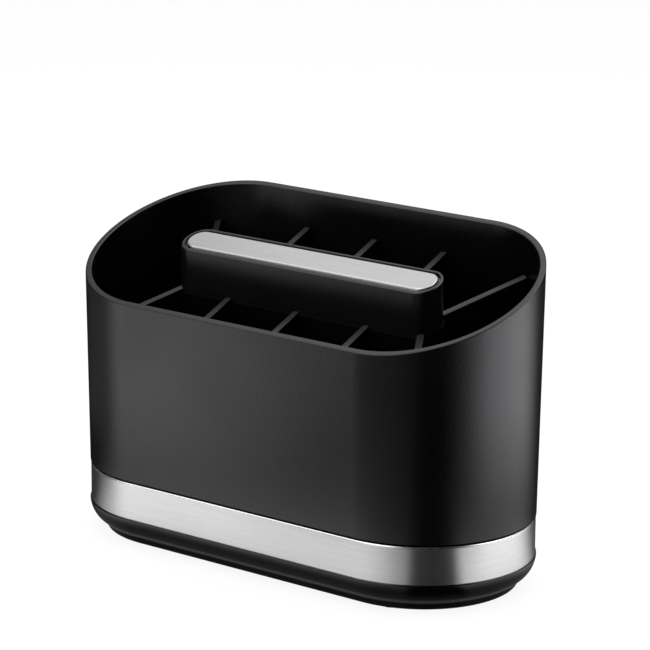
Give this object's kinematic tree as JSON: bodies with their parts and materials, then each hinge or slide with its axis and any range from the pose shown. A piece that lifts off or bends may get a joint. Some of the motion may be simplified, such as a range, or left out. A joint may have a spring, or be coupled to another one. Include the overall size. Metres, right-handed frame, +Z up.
{
  "type": "utensil holder",
  "caption": "Free-standing utensil holder with a slanted rim, a steel band, a rounded base on rubber feet and a lift-out insert of dividers with a handle.",
  "frame": {"origin": "on the ground under the middle of the container", "axes": "+X along the container's length, +Y to the back where the rim is high, +Z up"},
  "size_m": [0.2442, 0.11, 0.1623],
  "materials": {
    "shell_black": "fine spark-textured black plastic",
    "base_black": "satin black plastic, smoother than the shell",
    "insert_black": "matte black plastic",
    "handle_black": "satin black plastic",
    "brushed_steel": "stainless steel brushed lengthways",
    "screw_steel": "plain steel screws",
    "foot_rubber": "matte black rubber",
    "tape": "black double-sided foam tape"
  },
  "bodies": {
    "container": {"container_shell": "shell_black", "steel_band": "brushed_steel", "base": "base_black", "base_screws": "screw_steel", "foot_front_left": "foot_rubber", "foot_front_right": "foot_rubber", "foot_back_left": "foot_rubber", "foot_back_right": "foot_rubber"},
    "insert": {"divider_core": "insert_black", "front_divider_left": "insert_black", "front_divider_middle": "insert_black", "front_divider_right": "insert_black", "back_divider_left": "insert_black", "back_divider_middle": "insert_black", "back_divider_right": "insert_black", "corner_divider_front_left": "insert_black", "corner_divider_front_right": "insert_black", "corner_divider_back_left": "insert_black", "corner_divider_back_right": "insert_black", "handle_shell": "handle_black", "handle_screws": "screw_steel", "plate_tape": "tape", "handle_plate": "brushed_steel"}
  },
  "joints": [
    {"name": "insert_lift", "type": "slide", "parent": "container", "child": "insert", "axis": [0, 0, 1], "range_m": [0, 0.15]}
  ]
}
